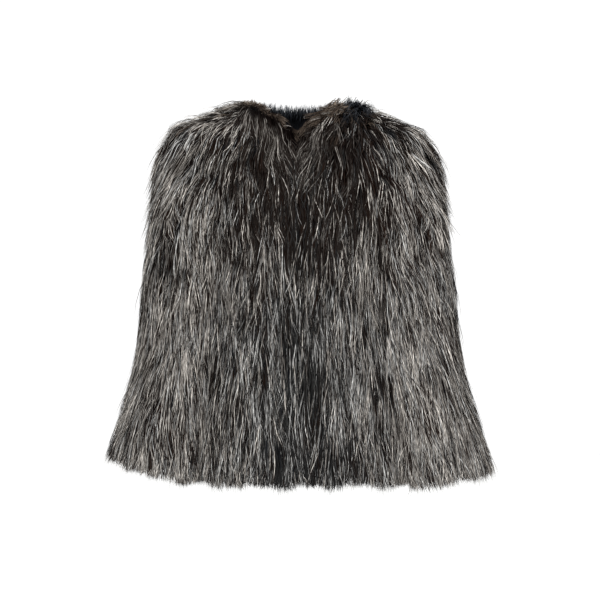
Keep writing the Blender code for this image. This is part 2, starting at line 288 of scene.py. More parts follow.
def neckline(share, face):
    """Turn and drop along half a neckline, an arc from the neck point to the middle."""
    centre_drop = FRONT_NECK_DROP if face == "front" else BACK_NECK_DROP
    drop = centre_drop * np.sin(share * QUARTER)
    across = NECK_HALF_WIDTH * np.cos(share * QUARTER) / through(BODY, "half_width", drop)
    return np.arcsin(np.clip(across, 0, 1) ** (1 / ROUNDNESS)), drop


def armhole(share, face):
    """Turn and drop along half an armhole, an oval seen from the side, from shoulder to underarm."""
    round_it = share * math.pi
    centre = (SHOULDER_DROP + UNDERARM_DROP) / 2
    drop = centre - (UNDERARM_DROP - SHOULDER_DROP) / 2 * np.cos(round_it)
    deep = ARMHOLE_HALF_DEPTH * np.sin(round_it) / through(BODY, face + "_depth", drop)
    return np.arccos(np.clip(deep, 0, 1) ** (1 / ROUNDNESS)), drop


def panel_skin(across, upper, lower, face):
    """Left half panel: turn and drop run evenly from the neckline or the middle to the armhole or the side.
    upper goes 0 to 1 from the shoulder seam to the underarm, then lower 0 to 1 to the hem."""
    skirt = lower * (HEM_DROP - UNDERARM_DROP)
    neck_turn, neck_drop = neckline(np.clip(upper / NECK_SHARE, 0, 1), face)
    chest = np.clip((upper - NECK_SHARE) / (1 - NECK_SHARE), 0, 1)
    middle_drop = neck_drop + (UNDERARM_DROP - neck_drop) * chest + skirt
    side_turn, side_drop = armhole(upper, face)
    turn = neck_turn + (side_turn - neck_turn) * across
    drop = middle_drop + (side_drop + skirt - middle_drop) * across
    return body_points(turn, drop, face)


print("front neck", body_points(*neckline(np.array(1.0), "front"), "front").round(3))


# %% Skin of the sleeves
def sleeve_section(drop, round_it):
    """Flattened oval at a drop: its middle plus cos(round_it) of the thin axis and sin of the long one."""
    turn = np.radians(through(SLEEVE, "turn_deg", drop))
    outward = np.stack([np.sin(turn), -np.cos(turn)], axis=-1)
    frontward = np.stack([-np.cos(turn), -np.sin(turn)], axis=-1)
    centre = np.stack([through(SLEEVE, "out", drop), -through(SLEEVE, "forward", drop)], axis=-1)
    thin = (through(SLEEVE, "half_thin", drop) * np.cos(round_it))[..., None]
    long = (through(SLEEVE, "half_long", drop) * np.sin(round_it))[..., None]
    return np.concatenate([centre + thin * outward + long * frontward, -drop[..., None]], axis=-1)


def armhole_ring(round_it):
    """Points round the left armhole, from the shoulder down the front and up the back."""
    front = body_points(*armhole(np.clip(round_it / math.pi, 0, 1), "front"), "front")
    back = body_points(*armhole(np.clip(2 - round_it / math.pi, 0, 1), "back"), "back")
    return np.where((round_it <= math.pi)[..., None], front, back)


def sleeve_skin(round_it, upper, lower, cuff_rise):
    """Left sleeve: upper 0 to 1 is the cap, a Hermite curve from the armhole to the arm, and lower 0 to 1 is
    the arm."""
    top, bottom = SLEEVE[0].drop, SLEEVE[-1].drop

    def arm(share):
        """The oval at each level of the arm, raised behind by up to cuff_rise at the cuff."""
        level = top + (bottom - top) * share
        rise = cuff_rise * eased(share) * (1 - np.sin(round_it)) / 2
        points = sleeve_section(np.clip(level - rise, top, bottom), round_it)
        points[..., 2] = rise - level
        return points

    low = (1 - np.cos(round_it)) / 2
    upward = CAP_FALL_AT_SHOULDER + (CAP_RISE_AT_UNDERARM - CAP_FALL_AT_SHOULDER) * low
    leaves = unit(np.stack([CAP_OUTWARD + 0 * low, -CAP_FORWARD * np.sin(round_it), upward], axis=-1))
    start = armhole_ring(round_it) + SEAM_GAP * leaves
    end = arm(0 * low)
    arrives = unit(arm(ARRIVAL_STEP + 0 * low) - end)
    reach = CAP_PULL * np.linalg.norm(end - start, axis=-1, keepdims=True)
    t = upper[..., None]
    cap = (
        start * (1 + 2 * t) * (1 - t) ** 2
        + reach * leaves * t * (1 - t) ** 2
        + end * t**2 * (3 - 2 * t)
        - reach * arrives * t**2 * (1 - t)
    )
    return np.where(t < 1, cap, arm(lower))


print("shoulder point", armhole_ring(np.array(0.0)).round(3))

# %% [markdown]
# ## Skins as grids
#
# Hair needs to know the place, the outward direction and the two steps along the surface at any spot of a
# pelt. So each half panel and each sleeve is laid out once as a fine grid, a few millimetres to a cell, and
# read between its points. The grid runs on below the hem, where hair hangs with no skin under it. A panel's
# grid also runs on past the armhole over the cap of the sleeve, because its hair lies there.

# %% Laying out a grid
PANEL_COLUMNS = 49
SLEEVE_COLUMNS = 97
UPPER_ROWS = 48
LOWER_ROWS = 72
HANG_ROWS = 12
HANG = 0.06

Skin = namedtuple("Skin", "points outward by_row by_column pile left rows columns tube")


def laid_out(points, facing, pile, columns, tube=False):
    """A grid with its outward directions, its steps by row and column and the metres left to the hem."""
    fall = unit(points[-1] - points[-3])
    steps = np.linspace(0, HANG, HANG_ROWS + 1)[1:, None, None]
    hanging = np.concatenate([points, points[-1] + steps * fall])
    by_row = np.gradient(hanging, axis=0)
    if tube:
        wrapped = np.concatenate([hanging[:, -2:-1], hanging, hanging[:, 1:2]], axis=1)
        by_column = (wrapped[:, 2:] - wrapped[:, :-2]) / 2
    else:
        by_column = np.gradient(hanging, axis=1)
    outward = unit(np.cross(by_row, by_column)) * facing
    lengths = np.linalg.norm(np.diff(hanging, axis=0), axis=-1)
    below = np.cumsum(lengths[::-1], axis=0)[::-1] - HANG
    left = np.concatenate([below, np.full((1, hanging.shape[1]), -HANG)])
    pile = np.concatenate([pile, np.repeat(pile[-1:], HANG_ROWS, axis=0)])
    return Skin(hanging, outward, by_row, by_column, pile, left, len(points), columns, tube)


def row_shares():
    """upper and lower shares of each row of a grid, from the top seam to the hem or cuff."""
    upper = np.concatenate([np.linspace(0, 1, UPPER_ROWS + 1), np.ones(LOWER_ROWS)])
    lower = np.concatenate([np.zeros(UPPER_ROWS + 1), np.linspace(0, 1, LOWER_ROWS + 1)[1:]])
    return upper[:, None], lower[:, None]


print("a grid has", UPPER_ROWS + LOWER_ROWS + HANG_ROWS, "rows of cells")

# %% Height of the pile
PILE = 0.020
PRESSED_PILE = 0.0078
UNDERARM_PILE = 0.002
UNDERARM_EASE = 0.055
SHOULDER_FULLNESS = 0.35
FULL_SHOULDER = (-0.01, 0.035)
SLEEVE_FULLNESS = 0.30
FULL_SLEEVE = (-0.24, 0.07)
PRESSED_ROUND = (0.3, -0.6)
PRESSED_ACROSS = (0.6, 0.9)
PRESSED_DOWN = (0.3, 0.7)


def pressed(points):
    """Pile between a sleeve and the body, thinnest at the underarm."""
    below = eased(-points[..., 2], UNDERARM_DROP, UNDERARM_DROP + UNDERARM_EASE)
    return UNDERARM_PILE + (PRESSED_PILE - UNDERARM_PILE) * below


def sleeve_pile(points, round_it):
    """Height of a sleeve's pile: full outside, pressed on the side of the body."""
    full = PILE * (1 + SLEEVE_FULLNESS * hump(points[..., 2], *FULL_SLEEVE))
    return full + (pressed(points) - full) * eased(np.cos(round_it), *PRESSED_ROUND)


def panel_pile(points, across, upper):
    """Height of a panel's pile: full on the shoulder, pressed beside the sleeve."""
    full = PILE * (1 + SHOULDER_FULLNESS * hump(points[..., 2], *FULL_SHOULDER))
    return full + (pressed(points) - full) * eased(across, *PRESSED_ACROSS) * eased(upper, *PRESSED_DOWN)


print("pile", PILE, "m high, or", PRESSED_PILE, "m beside a sleeve")

# %% Grids
CAP_COLUMNS = 14
CAP_COVERED = 0.8


def past_armhole(points, upper, face):
    """Columns that follow a panel's own: over the sleeve's cap above the underarm, straight on below it."""
    share = np.linspace(0, CAP_COVERED, CAP_COLUMNS + 1)[None, 1:]
    upper, share = np.broadcast_arrays(upper, share)
    round_it = math.pi * (upper if face == "front" else 2 - upper)
    cap = sleeve_skin(round_it, share, 0 * share, 0.0)
    edge, before = points[:, -1:], points[:, -2:-1]
    onward = edge + (edge - before) * np.arange(1, CAP_COLUMNS + 1)[None, :, None]
    over_cap = upper < 1
    pile = np.where(over_cap, sleeve_pile(cap, round_it), PRESSED_PILE)
    return np.where(over_cap[..., None], cap, onward), pile


def panel_grid(face):
    """Left half of a front or a back."""
    upper, lower = row_shares()
    across = np.linspace(0, 1, PANEL_COLUMNS)[None, :]
    points = panel_skin(*np.broadcast_arrays(across, upper, lower), face)
    own = points, panel_pile(points, across, upper)
    points, pile = (np.concatenate(parts, axis=1) for parts in zip(own, past_armhole(points, upper, face)))
    return laid_out(points, 1 if face == "front" else -1, pile, PANEL_COLUMNS)


def sleeve_grid(cuff_rise):
    """Left sleeve, its first column repeated at the end."""
    upper, lower = row_shares()
    round_it = np.linspace(0, 2 * math.pi, SLEEVE_COLUMNS)[None, :]
    upper, lower, round_it = np.broadcast_arrays(upper, lower, round_it)
    points = sleeve_skin(round_it, upper, lower, cuff_rise)
    return laid_out(points, -1, sleeve_pile(points, round_it), SLEEVE_COLUMNS, tube=True)


def mirrored(skin):
    """The same grid on the wearer's right."""
    flip = np.array([-1.0, 1.0, 1.0])
    return skin._replace(points=skin.points * flip, outward=skin.outward * flip,
                         by_row=skin.by_row * flip, by_column=skin.by_column * flip)


FRONT = panel_grid("front")
BACK = panel_grid("back")
SKINS = {
    "front_left": [FRONT],
    "front_right": [mirrored(FRONT)],
    "back": [BACK, mirrored(BACK)],
    "sleeve_left": [sleeve_grid(CUFF_RISE["left"])],
    "sleeve_right": [mirrored(sleeve_grid(CUFF_RISE["right"]))],
}
for name, halves in SKINS.items():
    print(name, [skin.points.shape[:2] for skin in halves])

# %% [markdown]
# ## Finishes
#
# Silver fox is dark at the root, pale in the middle of the guard hair and grey at the tip, and some hairs
# stay dark from end to end. Under them lies short brown wool. Low down in the middle the grey is cool, and
# round the neck there is blue-black hair. A hair's colour depends on two things only: how silvered it is,
# and how far along it we look. Those two are the hair's UV map, so no picture has to be painted. The four
# finishes take a band of the map each, because all hairs of a piece share one map. Hair is keratin, with an
# index of refraction of 1.55. A flat ribbon would shine more than round hair, so its shine is turned down.

# %% Hair materials
HAIR_MAP = "OFBake"
KERATIN_IOR = 1.55
HAIR_SHINE = 0.01
MAP_BANDS = ((0.01, 0.33), (0.35, 0.56), (0.58, 0.77), (0.79, 0.99))
# Sockets of a Mix node that carry colours
MIX_COLOURS = (6, 7)
MIX_RESULT = 2
RAMP_PLACES = {
    3: (0.0, 0.5, 1.0),
    4: (0.0, 0.35, 0.7, 1.0),
    9: (0.0, 0.34, 0.52, 0.60, 0.68, 0.76, 0.84, 0.92, 1.0),
}

Finish = namedtuple("Finish", "name roughness dark silver")
FINISHES = (
    # Long stiff outer hair, banded in growing: pale streaks on a dark ground
    Finish("silver fox guard hair", 0.55, "#050303 #090504 #130b08 #110a07",
           "#0a0808 #1e1917 #bfb9b2 #8b857e #e6e0d8 #a09a93 #e0dad2 #86807a #7c756e"),
    # Short soft hair below it: a warm brown ground
    Finish("brown underwool", 0.65, "#0a0504 #140a07 #1e110b", "#241d18 #6b6055 #93877b"),
    # Dense hair round the neck and low in the middle: black that looks a little blue
    Finish("blue-black neck hair", 0.55, "#060607 #0b0c0f #15181c", "#121316 #454a51 #8b8e93"),
    # The same outer hair with no yellow in it: streaks of cool grey
    Finish("cool grey guard hair", 0.55, "#040405 #070708 #0d0e0f #0c0c0d",
           "#090909 #1b1b1c #b9b8b6 #858482 #e1e0dd #9b9a98 #dbdad7 #807f7d #757472"),
)
GUARD, WOOL, NIGHT, COOL = range(len(FINISHES))


def hair_material(finish, band):
    """Hair: between its dark colours and its silver ones along its band of u, and from root to tip by v."""
    material, tree, shader = new_material(finish.name, finish.roughness)
    shader.inputs["IOR"].default_value = KERATIN_IOR
    shader.inputs["Specular IOR Level"].default_value = HAIR_SHINE
    place = add_node(tree, "ShaderNodeUVMap", uv_map=HAIR_MAP)
    split = add_node(tree, "ShaderNodeSeparateXYZ", {"Vector": place.outputs["UV"]})
    share = add_node(tree, "ShaderNodeMapRange",
                     {"Value": split.outputs["X"], "From Min": band[0], "From Max": band[1]})
    colour = add_node(tree, "ShaderNodeMix", {0: share.outputs["Result"]}, data_type="RGBA")
    for socket, colours in zip(MIX_COLOURS, (finish.dark.split(), finish.silver.split())):
        ramp = add_node(tree, "ShaderNodeValToRGB", {"Fac": split.outputs["Y"]},
                        zip(RAMP_PLACES[len(colours)], colours))
        tree.links.new(ramp.outputs["Color"], colour.inputs[socket])
    tree.links.new(colour.outputs[MIX_RESULT], shader.inputs["Base Color"])
    return material


HAIR_MATERIALS = [hair_material(finish, band) for finish, band in zip(FINISHES, MAP_BANDS)]
print("hair:", [material.name for material in HAIR_MATERIALS])


# %% Skin materials
GRAIN_DETAIL = 4.0


def cloth_material(name, tones, grain_mm, roughness, bump):
    """Short nap or suede: two tones mixed by noise with grains of grain_mm, raised by the same noise."""
    material, tree, shader = new_material(name, roughness)
    shader.inputs["IOR"].default_value = KERATIN_IOR
    place = add_node(tree, "ShaderNodeTexCoord")
    noise = add_node(tree, "ShaderNodeTexNoise",
                     {"Vector": place.outputs["Object"], "Scale": MM_PER_M / grain_mm,
                      "Detail": GRAIN_DETAIL})
    tone = add_node(tree, "ShaderNodeValToRGB", {"Fac": noise.outputs["Fac"]}, zip(NOISE_SPAN, tones))
    bumps = add_node(tree, "ShaderNodeBump",
                     {"Height": noise.outputs["Fac"], "Strength": bump,
                      "Distance": grain_mm / MM_PER_M / 2})
    tree.links.new(tone.outputs["Color"], shader.inputs["Base Color"])
    tree.links.new(bumps.outputs["Normal"], shader.inputs["Normal"])
    return material


# The hair side of the pelt is a dull dark nap between the locks. Its flesh side is tanned and buffed to an
# even matt brown. Both grains are too fine to show, so they are drawn coarser.
underfur = cloth_material("dense underfur", ("#14100e", "#2e2622"), grain_mm=3.0, roughness=0.9, bump=0.6)
suede = cloth_material("suede skin side", ("#3b332d", "#4d443c"), grain_mm=1.5, roughness=0.85, bump=0.3)
print("skin:", underfur.name, "and", suede.name)

# %% [markdown]
# ## Pelts
#
# Each pelt is skin about 1.2 mm thick: suede inside, dense underfur outside. It could be drawn as a single
# sheet, but it is open at the neck, hem and cuffs, where its edge shows. So a Solidify modifier gives it
# its thickness.

# %% Pelts
PELT = 0.0012
PELT_STEP = 3


def grid_faces(rows, columns, first=0):
    """Corner numbers of the quads between the points of a grid."""
    number = first + np.arange(rows * columns).reshape(rows, columns)
    corners = [number[:-1, :-1], number[1:, :-1], number[1:, 1:], number[:-1, 1:]]
    return np.stack(corners, axis=-1).reshape(-1, 4)


def pelt(node):
    """Skin of one piece: its grids, thinned to every third point, joined and turned outwards."""
    points, faces, first = [], [], 0
    for skin in SKINS[node]:
        grid = skin.points[:skin.rows:PELT_STEP, :skin.columns:PELT_STEP]
        outward = skin.outward[:skin.rows:PELT_STEP, :skin.columns:PELT_STEP]
        quads = grid_faces(*grid.shape[:2], first)
        turned = np.cross(grid[1, 0] - grid[0, 0], grid[1, 1] - grid[0, 0]) @ outward[0, 0]
        faces.append(quads if turned > 0 else quads[:, ::-1])
        points.append(grid.reshape(-1, 3))
        first += len(points[-1])
    mesh = bpy.data.meshes.new("pelt_" + node)
    mesh.from_pydata(np.concatenate(points).tolist(), [], np.concatenate(faces).tolist())
    work = bmesh.new()
    work.from_mesh(mesh)
    bmesh.ops.remove_doubles(work, verts=work.verts, dist=SEAM_GAP / 3)
    work.to_mesh(mesh)
    work.free()
    mesh.shade_smooth()
    mesh.materials.append(underfur)
    mesh.materials.append(suede)
    piece = linked("pelt_" + node, mesh)
    wall = piece.modifiers.new("thickness", "SOLIDIFY")
    wall.thickness = PELT
    wall.offset = 1.0
    wall.material_offset = 1
    wall.material_offset_rim = 0
    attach(piece, "root")
    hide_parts(node)
    return piece


PELTS = {node: pelt(node) for node in SKINS}
for node, piece in PELTS.items():
    print(piece.name, len(piece.data.polygons), "faces")

# %% [markdown]
# ## Combing
#
# Hair lies the way it is combed. On this jacket it leaves the point where the shoulder meets the neck in
# all directions, and the lower it grows, the more its weight pulls it down. Blender's hair can be combed by
# hand, but a rule can be read and changed. So the direction at any spot is the way from the neck point plus
# a pull downwards, laid flat onto the skin. Slow waves and a slant to the wearer's left turn it a little.
# A lock's middle line follows that direction in a few steps.

# %% Direction of the hair
PULL_BELOW = 50.0
MIDDLE_PULL = 1.5
MIDDLE_PULL_WIDTH = 0.07
SIDEWAYS_LIMIT = 0.14
MIDDLE_WIDTH = 0.035


def dot(a, b):
    """Product of vectors along the last axis."""
    return (a * b).sum(-1)


def combed(points, outward, centre, twist):
    """Unit direction of hair on the skin: away from centre plus a downward pull that grows with the square
    of the drop, most in the middle, turned by twist radians. Far out it slants no more than at a limit, and
    beside the middle it no longer goes sideways."""
    pull = PULL_BELOW * np.clip(-points[..., 2], 0, None) ** 2
    pull = pull * (1 + MIDDLE_PULL * hump(points[..., 0], 0.0, MIDDLE_PULL_WIDTH))
    away = points - centre
    away[..., 0] = SIDEWAYS_LIMIT * np.tanh(away[..., 0] / SIDEWAYS_LIMIT)
    way = unit(away)
    way[..., 0] *= eased(np.abs(points[..., 0]) / MIDDLE_WIDTH)
    way[..., 2] -= pull
    flat = unit(way - dot(way, outward)[..., None] * outward)
    side = np.cross(flat, outward)
    return flat * np.cos(twist)[..., None] + side * np.sin(twist)[..., None]


on_chest = np.array([0.06, -0.1, -0.1])
forwards = np.array([0.0, -1.0, 0.0])
print("hair on the chest goes", combed(on_chest, forwards, np.zeros(3), np.array(0.0)).round(2))

# %% Waves and zones
Wave = namedtuple("Wave", "size across along start")
Zone = namedtuple("Zone", "amount across height")


def waves(rows, across, along):
    """Sum of sine waves over two coordinates: each has a size, two rates in radians a metre and a start."""
    return sum(row.size * np.sin(row.across * across + row.along * along + row.start) for row in rows)


def everywhere(value):
    """1 at any value of a coordinate."""
    return 1.0


def near(middle, width):
    """A hump, as a function of one coordinate."""
    return lambda value: hump(value, middle, width)


def past(start, end):
    """An eased rise from start to end, as a function of one coordinate."""
    return lambda value: eased(value, start, end)


def apart(start, end, middle=0.0):
    """The same rise by the distance from a middle, on both sides."""
    return lambda value: eased(np.abs(value - middle), start, end)


def zones(rows, x, z):
    """Sum of soft zones: each one's amount, times its function of x, times its function of z."""
    return sum(row.amount * row.across(x) * row.height(z) for row in rows)


SWIRLS = (Wave(0.07, 62, 27, 0), Wave(0.07, 38, -75, 2))
LEFTWARD = (
    Zone(0.19, past(0.10, 0.14), past(-0.14, -0.22)),  # left side
    Zone(-0.095, past(0.18, 0.21), past(-0.14, -0.22)),  # less on its sleeve
    Zone(0.20, past(-0.15, -0.18), near(-0.16, 0.06)),  # high on the right sleeve
    Zone(-0.40, past(-0.06, -0.09), near(0.005, 0.03)),  # top of the right shoulder
)
print("slant at the left side", zones(LEFTWARD, 0.15, -0.3).round(2), "radians")

# %% Middle lines of locks
STEPS = 4
FALL_PAST_SEAM = 0.55
LARGEST_STEP = 20
SMALLEST_CELL = 1e-14
UP = np.array([0.0, 0.0, 1.0])

Line = namedtuple("Line", "points along outward side pile")


def between(grid, row, column):
    """Values of a grid between its points: the four round a spot, weighted by nearness."""
    r = np.clip(row.astype(int), 0, grid.shape[0] - 2)
    c = np.clip(column.astype(int), 0, grid.shape[1] - 2)
    extra = (1,) * (grid.ndim - 2)
    down = np.clip(row - r, 0, 1).reshape(*row.shape, *extra)
    along = np.clip(column - c, 0, 1).reshape(*row.shape, *extra)
    upper = grid[r, c] * (1 - along) + grid[r, c + 1] * along
    lower = grid[r + 1, c] * (1 - along) + grid[r + 1, c + 1] * along
    return upper * (1 - down) + lower * down


def cells_moved(skin, row, column, stride):
    """Rows and columns that a stride along the skin passes: the two steps of the grid that make it up."""
    by_row, by_column = between(skin.by_row, row, column), between(skin.by_column, row, column)
    rr, cc, rc = dot(by_row, by_row), dot(by_column, by_column), dot(by_row, by_column)
    sr, sc = dot(by_row, stride), dot(by_column, stride)
    spread = np.maximum(rr * cc - rc * rc, SMALLEST_CELL)
    moved = (sr * cc - sc * rc) / spread, (sc * rr - sr * rc) / spread
    return (np.clip(part, -LARGEST_STEP, LARGEST_STEP) for part in moved)


def lines(skin, row, column, length, centre, twist):
    """Middle lines of locks, STEPS + 1 points each, with their directions and the pile's height there. Past
    the edge of the grid they fall."""
    found = []
    last_row, last_column = len(skin.points) - 1, skin.points.shape[1] - 1
    step = (length / STEPS)[:, None]
    place = between(skin.points, row, column)
    along = np.zeros(place.shape)
    for _ in range(STEPS + 1):
        outward = unit(between(skin.outward, row, column))
        along = unit(combed(place, outward, centre, twist) + along)
        found.append((place, along, outward, np.cross(along, outward), between(skin.pile, row, column)))
        down, aside = cells_moved(skin, row, column, along * step)
        row, column = row + down, column + aside
        if skin.tube:
            column = column % last_column
        inside = (row >= 0) & (row <= last_row) & (column >= 0) & (column <= last_column)
        row, column = np.clip(row, 0, last_row), np.clip(column, 0, last_column)
        falling = place + unit(along - FALL_PAST_SEAM * UP) * step
        place = np.where(inside[:, None], between(skin.points, row, column), falling)
    return Line(*(np.stack(values, axis=1) for values in zip(*found)))


print("a lock's line has", STEPS + 1, "points")

# %% [markdown]
# ## Locks and hairs
#
# Fur doesn't lie as single hairs: a few of them cling together in a lock that narrows to a point. The roots
# of a lock's hairs are spread over a patch of skin, and the hairs close up towards the tip. Dark loose locks
# lie below, and slim silver ones above them. Blender's own hair curves could draw them, but they aren't a
# mesh that other programs can load. So each hair is a narrow ribbon with a pointed end, seven triangles, a
# little turned about its length so that it catches the light its own way. All hairs of a piece are one mesh.

# %% Locks
HIDDEN_SHARE = 0.35

Lock = namedtuple("Lock", "hairs radius cling half_width lift stray")
UNDER_LOCK = Lock(8, 0.0080, 0.45, 0.00085, (0.25, 0.80), 0.02)
OVER_LOCK = Lock(3, 0.0024, 0.88, 0.00046, (0.60, 1.08), 0.04)
LOOSE_LOCK = Lock(9, 0.0050, 0.30, 0.00045, (0.0, 1.0), 0.10)
BRISTLE_LOCK = Lock(5, 0.0070, 0.45, 0.00080, (0.0, 1.0), 0.10)
STRAND_LOCK = Lock(3, 0.0040, 0.00, 0.00034, (0.0, 1.0), 0.10)


def cell_areas(skin):
    """Square metres of each cell of a piece's own skin."""
    return np.linalg.norm(np.cross(skin.by_row, skin.by_column), axis=-1)[:skin.rows - 1, :skin.columns - 1]


def roots(skin, spacing, rng):
    """Rows and columns of lock roots, one for each spacing squared of skin, at random within each cell. On
    the side of a sleeve that is pressed to the body there are fewer."""
    area = cell_areas(skin)
    wanted = area / spacing**2
    if skin.tube:
        hidden = skin.pile[:skin.rows - 1, :skin.columns - 1] < (PILE + PRESSED_PILE) / 2
        wanted = wanted * np.where(hidden, HIDDEN_SHARE, 1.0)
    count = np.floor(wanted + rng.random(area.shape)).astype(int)
    row, column = (np.repeat(index.ravel(), count.ravel()) for index in np.indices(area.shape))
    return row + rng.random(len(row)), column + rng.random(len(row))


print("hairs in a lock:", UNDER_LOCK.hairs, "below and", OVER_LOCK.hairs, "above")

# %% Hairs
WIDTH_ALONG = np.array([0.8, 1.0, 0.95, 0.65])
RISE_ALONG = np.array([0.0, 0.55, 0.85, 0.97, 1.0])
ALONG = np.linspace(0, 1, STEPS + 1)
LEAN = 0.065
WILD_LEAN = 0.14
WILD_LIFT = 0.22
LOCK_BEND = 0.0036
HAIR_BEND = 0.0016
BEND_RATE = 4
CLING_ONWARD = 0.5
ROLL = 0.5
REACHES = (0.90, 1.04)
WIDTHS = (0.6, 1.5)
TONES = (0.4, 1.25)
DARK_HAIR = 0.012

Hair = namedtuple("Hair", "points side width tone kind")


def hairs(line, length, tone, kind, lock, rng, pale_share=1.0):
    """Hairs of locks. A hair's point is the line's point, moved aside by its root's offset, which shrinks by
    the lock's cling towards the tip, and by a slow wave, and moved out from the pelt's face by its share of
    the pile's height. Of a lock's hairs, pale_share take its tone and the others stay dark."""
    locks_count = len(line.points)
    shape = (locks_count, lock.hairs)
    offset = rng.uniform(-1, 1, (2, *shape)) * lock.radius
    wild = rng.random(shape) < lock.stray
    lift = rng.uniform(*lock.lift, shape) + np.where(wild, WILD_LIFT, 0)
    lean = rng.normal(0, np.where(wild, WILD_LEAN, LEAN))
    bend = rng.normal(0, LOCK_BEND, (locks_count, 1)) + rng.normal(0, HAIR_BEND, shape)
    phase = rng.uniform(0, 2 * math.pi, (locks_count, 1, 1))
    reach = rng.uniform(*REACHES, shape)
    s = ALONG[None, None, :]
    far = s * length[:, None, None]
    aside = offset[0][..., None] * (1 - lock.cling * s) + lean[..., None] * far
    aside += bend[..., None] * np.sin(BEND_RATE * s + phase) * s
    onward = offset[1][..., None] * (1 - CLING_ONWARD * s) + (reach[..., None] - 1) * far
    up = PELT * (1 - s) + line.pile[:, None, :] * lift[..., None] * RISE_ALONG
    points = (line.points[:, None] + aside[..., None] * line.side[:, None]
              + onward[..., None] * line.along[:, None] + up[..., None] * line.outward[:, None])
    roll = rng.normal(0, ROLL, shape)[..., None, None]
    side = line.side[:, None] * np.cos(roll) + line.outward[:, None] * np.sin(roll)
    width = lock.half_width * rng.uniform(*WIDTHS, shape)
    pale = rng.random(shape) < np.broadcast_to(pale_share, locks_count)[:, None]
    tone = np.clip(tone[:, None] * rng.uniform(*TONES, shape) * np.where(pale, 1, DARK_HAIR), 0, 1)
    count = locks_count * lock.hairs
    return Hair(points.reshape(count, STEPS + 1, 3), side.reshape(count, STEPS + 1, 3), width.ravel(),
                tone.ravel(), np.repeat(np.broadcast_to(kind, locks_count), lock.hairs))


print("a hair has", 2 * STEPS + 1, "points and", 2 * STEPS - 1, "triangles")

# %% Mesh of the hairs
MAP_HALF_WIDTH = 0.004


def hair_map(tone, kind):
    """u and v of every point of the hairs: u is the tone along the finish's band, v the share of the way."""
    spread = np.append(np.tile([-1.0, 1.0], STEPS), 0.0) * MAP_HALF_WIDTH
    band_low, band_high = np.array(MAP_BANDS)[kind].T
    u = (band_low + MAP_HALF_WIDTH + (band_high - band_low - 2 * MAP_HALF_WIDTH) * tone)[:, None] + spread
    v = np.broadcast_to(np.append(np.repeat(ALONG[:STEPS], 2), 1.0), u.shape)
    return np.stack([u, v], axis=-1)


def fur(name, batches):
    """One mesh of all these hairs: pairs of points along each, and one at its tip."""
    points, side, width, tone, kind = (np.concatenate(values) for values in zip(*batches))
    count = len(points)
    half = side[:, :STEPS] * (width[:, None] * WIDTH_ALONG)[..., None]
    pairs = np.stack([points[:, :STEPS] - half, points[:, :STEPS] + half], axis=2).reshape(count, -1, 3)
    vertices = np.concatenate([pairs, points[:, STEPS:]], axis=1)
    quads = [[2 * i, 2 * i + 1, 2 * i + 3, 2 * i + 2] for i in range(STEPS - 1)]
    tip = [2 * STEPS - 2, 2 * STEPS - 1, 2 * STEPS]
    pattern = np.array(sum(quads, []) + tip)
    number = np.arange(count)[:, None]
    corners = (pattern + vertices.shape[1] * number).ravel()
    starts = (np.arange(STEPS) * 4 + len(pattern) * number).ravel()

    mesh = bpy.data.meshes.new(name)
    mesh.vertices.add(vertices.shape[0] * vertices.shape[1])
    mesh.vertices.foreach_set("co", vertices.astype(np.float32).ravel())
    mesh.loops.add(len(corners))
    mesh.loops.foreach_set("vertex_index", corners.astype(np.int32))
    mesh.polygons.add(len(starts))
    mesh.polygons.foreach_set("loop_start", starts.astype(np.int32))
    mesh.polygons.foreach_set("material_index", np.repeat(kind, STEPS).astype(np.int32))
    mesh.update(calc_edges=True)
    mesh.validate()
    uv = hair_map(tone, kind)[:, pattern]
    mesh.uv_layers.new(name=HAIR_MAP).data.foreach_set("uv", uv.astype(np.float32).ravel())
    mesh.shade_smooth()
    for material in HAIR_MATERIALS:
        mesh.materials.append(material)
    piece = linked(name, mesh)
    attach(piece, "root")
    print(name, count, "hairs,", count * (2 * STEPS - 1), "triangles")
    return piece


# %% [markdown]
# ## How silvered the fur is
#
# The fur is darkest down the middle of the front and across the upper chest, and palest on the sleeves. On
# the chest the wool below is brown. Low down in the middle, blue-black and cool grey hair is mixed in, and
# here and there a patch is paler or darker. On the outer rim of each sleeve, where it rounds away, shade is
# painted: fewer pale locks grow there. All that could be painted by hand. A sum of soft zones is shorter,
# and each of them has a name.

# %% Pale and dark places
PALE = 0.60
PALE_LIMITS = (0.06, 0.95)
STREAKS = (Wave(0.07, 54, 23, QUARTER - 1), Wave(-0.07, 136, -5, QUARTER + 1))
SILVER = (
    Zone(0.13, apart(0.12, 0.20), everywhere),  # sleeves
    Zone(0.04, past(0.0, 0.08), everywhere),  # left half
    Zone(0.27, past(-0.09, -0.14), near(-0.04, 0.08)),  # right shoulder
    Zone(0.11, near(0.15, 0.04), past(-0.25, -0.35)),  # left side
    Zone(0.11, near(-0.16, 0.05), past(-0.25, -0.35)),  # right side
    Zone(-0.12, apart(0.20, 0.25), past(-0.48, -0.54)),  # cuffs
    Zone(-0.42, apart(0.135, 0.070, 0.018), near(-0.090, 0.073)),  # chest
    Zone(-0.22, near(0.035, 0.05), near(-0.09, 0.06)),  # left of the chest
)
SILVER_IN_FRONT = (
    Zone(-0.29, near(0.0, 0.042), everywhere),  # middle
    Zone(-0.24, near(0.030, 0.06), near(-0.53, 0.06)),  # low middle
)
PATCH_WIDTH = 0.032
PATCHES_BEFORE = 0.03
